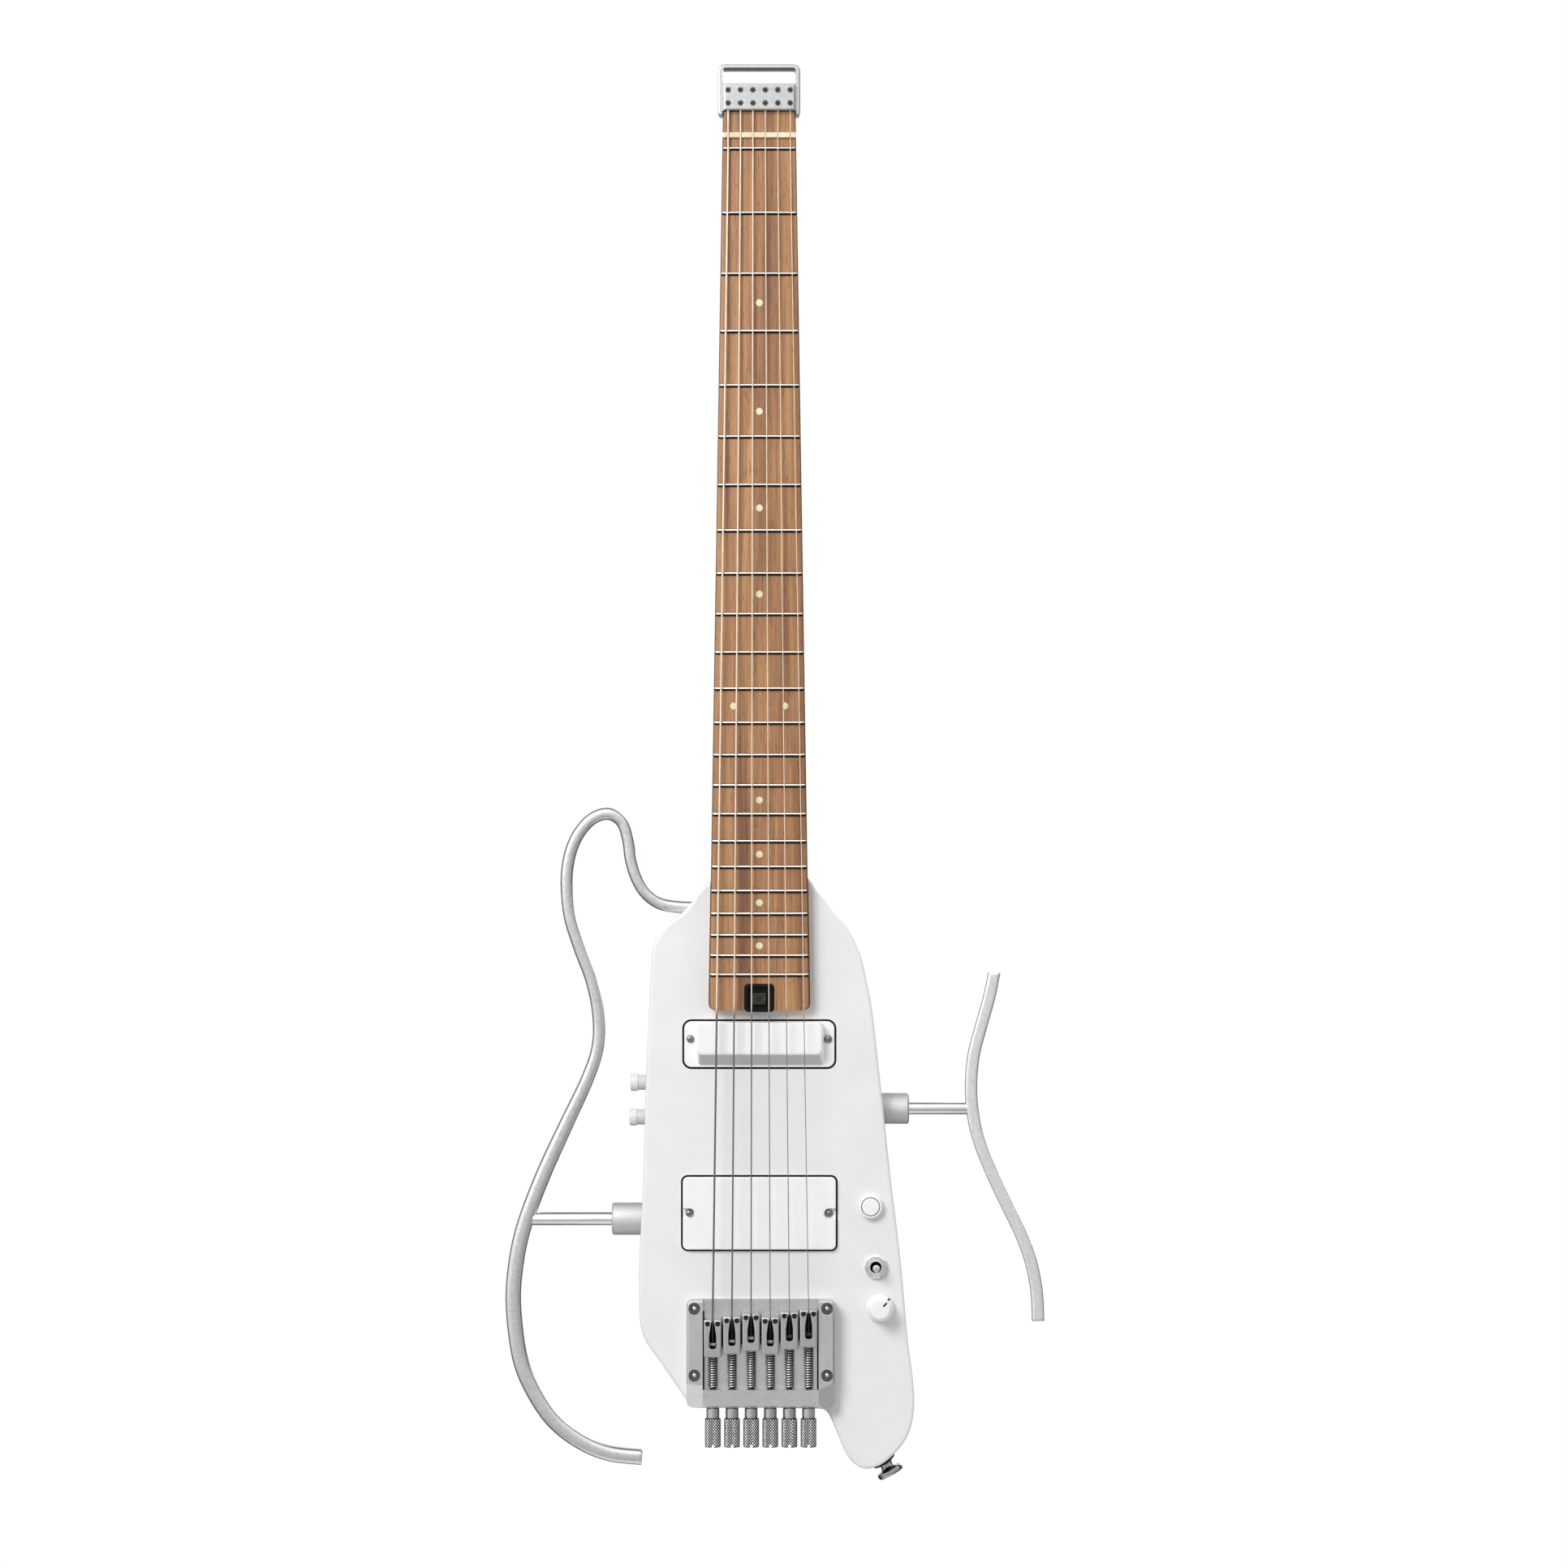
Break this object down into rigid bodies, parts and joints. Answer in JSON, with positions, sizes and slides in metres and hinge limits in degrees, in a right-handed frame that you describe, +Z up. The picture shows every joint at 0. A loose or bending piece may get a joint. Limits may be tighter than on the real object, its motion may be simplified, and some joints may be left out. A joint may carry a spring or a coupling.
{
  "type": "electric guitar",
  "caption": "Headless travel electric guitar with a slim body, a tail bridge with knurled tuners, two pickups and bent aluminium frame bars on slide-out rods.",
  "frame": {"origin": "under the top bar of the head loop, on the neck's middle line, where a hook holds it", "axes": "+X to the treble side, +Y from the playing side to the back, +Z up along the neck to the head"},
  "size_m": [0.307, 0.0578, 0.8013],
  "materials": {
    "body_lacquer": "white satin lacquer over solid wood",
    "white_plastic": "white moulded plastic, soft gloss",
    "fretboard_wood": "roasted maple with an oiled face",
    "neck_wood": "roasted maple, satin",
    "nut_bone": "polished cream",
    "satin_aluminium": "bead-blasted and clear anodised",
    "steel": "bright nickel-plated",
    "black_plastic": "matt black",
    "black_felt": "black felt",
    "circuit_board": "green solder mask"
  },
  "bodies": {
    "guitar": {"body": "body_lacquer", "back_cover": "black_plastic", "circuit_board": "circuit_board", "neck": "neck_wood", "fretboard": "fretboard_wood", "nut": "nut_bone", "truss_rod": "steel", "truss_rod_cover": "black_plastic", "head_piece": "satin_aluminium", "string_1": "steel", "saddle_spring_1": "steel", "string_2": "steel", "saddle_spring_2": "steel", "string_3": "steel", "saddle_spring_3": "steel", "string_4": "steel", "saddle_spring_4": "steel", "string_5": "steel", "saddle_spring_5": "steel", "string_6": "steel", "saddle_spring_6": "steel", "bridge_plate": "satin_aluminium", "bridge_screw_1": "steel", "bridge_screw_2": "steel", "bridge_screw_3": "steel", "bridge_screw_4": "steel", "neck_pickup": "white_plastic", "bridge_pickup": "white_plastic", "neck_pickup_screw_1": "steel", "bridge_pickup_screw_1": "steel", "neck_pickup_screw_2": "steel", "bridge_pickup_screw_2": "steel", "button_bezel": "white_plastic", "toggle_switch": "steel", "output_socket": "steel", "strap_washer": "black_felt", "strap_button": "steel"},
    "tuner_1": {"tuner_knob_1": "satin_aluminium"},
    "tuner_2": {"tuner_knob_2": "satin_aluminium"},
    "tuner_3": {"tuner_knob_3": "satin_aluminium"},
    "tuner_4": {"tuner_knob_4": "satin_aluminium"},
    "tuner_5": {"tuner_knob_5": "satin_aluminium"},
    "tuner_6": {"tuner_knob_6": "satin_aluminium"},
    "saddle_1": {"saddle_1": "satin_aluminium"},
    "saddle_2": {"saddle_2": "satin_aluminium"},
    "saddle_3": {"saddle_3": "satin_aluminium"},
    "saddle_4": {"saddle_4": "satin_aluminium"},
    "saddle_5": {"saddle_5": "satin_aluminium"},
    "saddle_6": {"saddle_6": "satin_aluminium"},
    "volume_knob": {"volume_knob": "white_plastic"},
    "push_button": {"push_button": "white_plastic"},
    "toggle_lever": {"toggle_lever": "steel"},
    "side_knob_1": {"side_knob_1": "white_plastic"},
    "side_knob_2": {"side_knob_2": "white_plastic"},
    "left_collar": {"left_collar": "satin_aluminium"},
    "right_collar": {"right_collar": "satin_aluminium"},
    "left_frame": {"left_frame": "satin_aluminium", "left_rod": "satin_aluminium"},
    "right_frame": {"right_frame": "satin_aluminium", "right_rod": "satin_aluminium"}
  },
  "joints": [
    {"name": "tuner_turn_1", "type": "hinge", "parent": "guitar", "child": "tuner_1", "pos_m": [-0.0262, -0.003, -0.75], "axis": [0, 0, 1], "range_deg": [-1440.1, 1440.1]},
    {"name": "saddle_slide_1", "type": "slide", "parent": "guitar", "child": "saddle_1", "axis": [0, 0, -1], "range_m": [-0.0028, 0.0028], "deforming": ["string_1", "saddle_spring_1"]},
    {"name": "tuner_turn_2", "type": "hinge", "parent": "guitar", "child": "tuner_2", "pos_m": [-0.0154, -0.003, -0.75], "axis": [0, 0, 1], "range_deg": [-1440.1, 1440.1]},
    {"name": "saddle_slide_2", "type": "slide", "parent": "guitar", "child": "saddle_2", "axis": [0, 0, -1], "range_m": [-0.0028, 0.0028], "deforming": ["string_2", "saddle_spring_2"]},
    {"name": "tuner_turn_3", "type": "hinge", "parent": "guitar", "child": "tuner_3", "pos_m": [-0.0046, -0.003, -0.75], "axis": [0, 0, 1], "range_deg": [-1440.1, 1440.1]},
    {"name": "saddle_slide_3", "type": "slide", "parent": "guitar", "child": "saddle_3", "axis": [0, 0, -1], "range_m": [-0.0028, 0.0028], "deforming": ["string_3", "saddle_spring_3"]},
    {"name": "tuner_turn_4", "type": "hinge", "parent": "guitar", "child": "tuner_4", "pos_m": [0.0062, -0.003, -0.75], "axis": [0, 0, 1], "range_deg": [-1440.1, 1440.1]},
    {"name": "saddle_slide_4", "type": "slide", "parent": "guitar", "child": "saddle_4", "axis": [0, 0, -1], "range_m": [-0.0028, 0.0028], "deforming": ["string_4", "saddle_spring_4"]},
    {"name": "tuner_turn_5", "type": "hinge", "parent": "guitar", "child": "tuner_5", "pos_m": [0.017, -0.003, -0.75], "axis": [0, 0, 1], "range_deg": [-1440.1, 1440.1]},
    {"name": "saddle_slide_5", "type": "slide", "parent": "guitar", "child": "saddle_5", "axis": [0, 0, -1], "range_m": [-0.0028, 0.0028], "deforming": ["string_5", "saddle_spring_5"]},
    {"name": "tuner_turn_6", "type": "hinge", "parent": "guitar", "child": "tuner_6", "pos_m": [0.0278, -0.003, -0.75], "axis": [0, 0, 1], "range_deg": [-1440.1, 1440.1]},
    {"name": "saddle_slide_6", "type": "slide", "parent": "guitar", "child": "saddle_6", "axis": [0, 0, -1], "range_m": [-0.0028, 0.0028], "deforming": ["string_6", "saddle_spring_6"]},
    {"name": "volume_turn", "type": "hinge", "parent": "guitar", "child": "volume_knob", "pos_m": [0.06817, 0, -0.69754], "axis": [0, 1, 0], "range_deg": [-150, 150]},
    {"name": "button_push", "type": "slide", "parent": "guitar", "child": "push_button", "axis": [0, 1, 0], "range_m": [0, 0.0015], "stiffness_N_per_m": 300},
    {"name": "toggle_tilt", "type": "hinge", "parent": "guitar", "child": "toggle_lever", "pos_m": [0.06583, 0.009, -0.67443], "axis": [-1, 0, 0], "range_deg": [-10, 10]},
    {"name": "side_turn_1", "type": "hinge", "parent": "guitar", "child": "side_knob_1", "pos_m": [-0.064, 0.024, -0.57125], "axis": [1, 0, 0], "range_deg": [-150, 150]},
    {"name": "side_turn_2", "type": "hinge", "parent": "guitar", "child": "side_knob_2", "pos_m": [-0.064, 0.024, -0.59101], "axis": [1, 0, 0], "range_deg": [-150, 150]},
    {"name": "left_collar_turn", "type": "hinge", "parent": "guitar", "child": "left_collar", "pos_m": [-0.075, 0.024, -0.64897], "axis": [1, 0, 0], "range_deg": [0, 90]},
    {"name": "right_collar_turn", "type": "hinge", "parent": "guitar", "child": "right_collar", "pos_m": [0.077, 0.024, -0.58616], "axis": [1, 0, 0], "range_deg": [0, 90]},
    {"name": "left_frame_slide", "type": "slide", "parent": "guitar", "child": "left_frame", "axis": [-1, 0, 0], "range_m": [0, 0.025]},
    {"name": "right_frame_slide", "type": "slide", "parent": "guitar", "child": "right_frame", "axis": [1, 0, 0], "range_m": [0, 0.025]}
  ],
  "couplings": [
    {"joint": "tuner_turn_1", "follows": "saddle_slide_1", "rad_per_m": 8976},
    {"joint": "tuner_turn_2", "follows": "saddle_slide_2", "rad_per_m": 8976},
    {"joint": "tuner_turn_3", "follows": "saddle_slide_3", "rad_per_m": 8976},
    {"joint": "tuner_turn_4", "follows": "saddle_slide_4", "rad_per_m": 8976},
    {"joint": "tuner_turn_5", "follows": "saddle_slide_5", "rad_per_m": 8976},
    {"joint": "tuner_turn_6", "follows": "saddle_slide_6", "rad_per_m": 8976}
  ]
}
